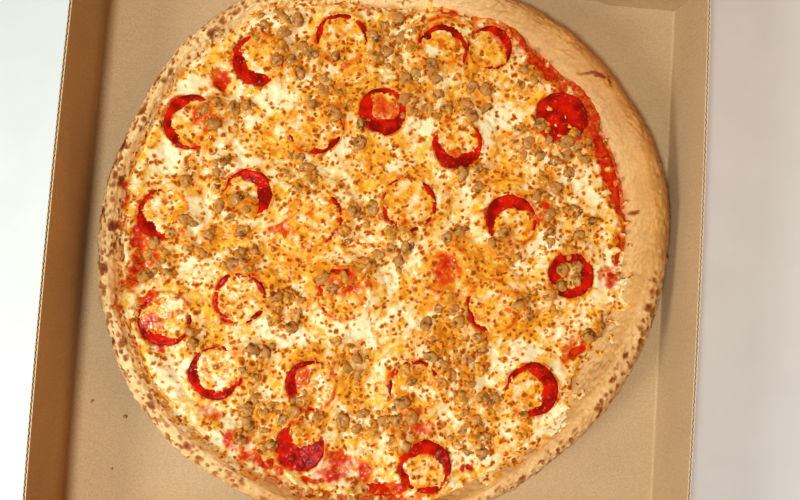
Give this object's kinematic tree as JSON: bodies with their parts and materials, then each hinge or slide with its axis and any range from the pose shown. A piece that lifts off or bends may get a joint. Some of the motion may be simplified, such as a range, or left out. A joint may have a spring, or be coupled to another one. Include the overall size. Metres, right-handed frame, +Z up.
{
  "type": "pizza in a takeaway box",
  "caption": "Round pepperoni and sausage pizza with a browned rim, in a square corrugated takeaway box whose hinged lid stands open.",
  "frame": {"origin": "centre of the tray's underside", "axes": "+Z up, +Y towards the back wall that the lid is hinged on, +X to the right for someone who stands at the front of the box"},
  "size_m": [0.3656, 0.4849, 0.3942],
  "materials": {
    "card": "matte",
    "crust": "matte",
    "sauce": "gloss",
    "cheese": "satin",
    "pepperoni": "satin",
    "sausage": "satin"
  },
  "bodies": {
    "base": {"tray": "card", "crust": "crust", "sauce": "sauce", "cheese": "cheese", "pepperoni_01": "pepperoni", "pepperoni_02": "pepperoni", "pepperoni_03": "pepperoni", "pepperoni_04": "pepperoni", "pepperoni_05": "pepperoni", "pepperoni_06": "pepperoni", "pepperoni_07": "pepperoni", "pepperoni_08": "pepperoni", "pepperoni_09": "pepperoni", "pepperoni_10": "pepperoni", "pepperoni_11": "pepperoni", "pepperoni_12": "pepperoni", "pepperoni_13": "pepperoni", "pepperoni_14": "pepperoni", "pepperoni_15": "pepperoni", "pepperoni_16": "pepperoni", "pepperoni_17": "pepperoni", "pepperoni_18": "pepperoni", "pepperoni_19": "pepperoni", "pepperoni_20": "pepperoni", "pepperoni_21": "pepperoni", "pepperoni_22": "pepperoni", "pepperoni_23": "pepperoni", "pepperoni_24": "pepperoni", "pepperoni_25": "pepperoni", "pepperoni_26": "pepperoni", "pepperoni_27": "pepperoni"},
    "lid": {"lid": "card"}
  },
  "joints": [
    {"name": "lid_hinge", "type": "hinge", "parent": "base", "child": "lid", "pos_m": [0, 0.1808, 0.0471], "axis": [-1, 0, 0], "range_deg": [-110, 70]}
  ]
}
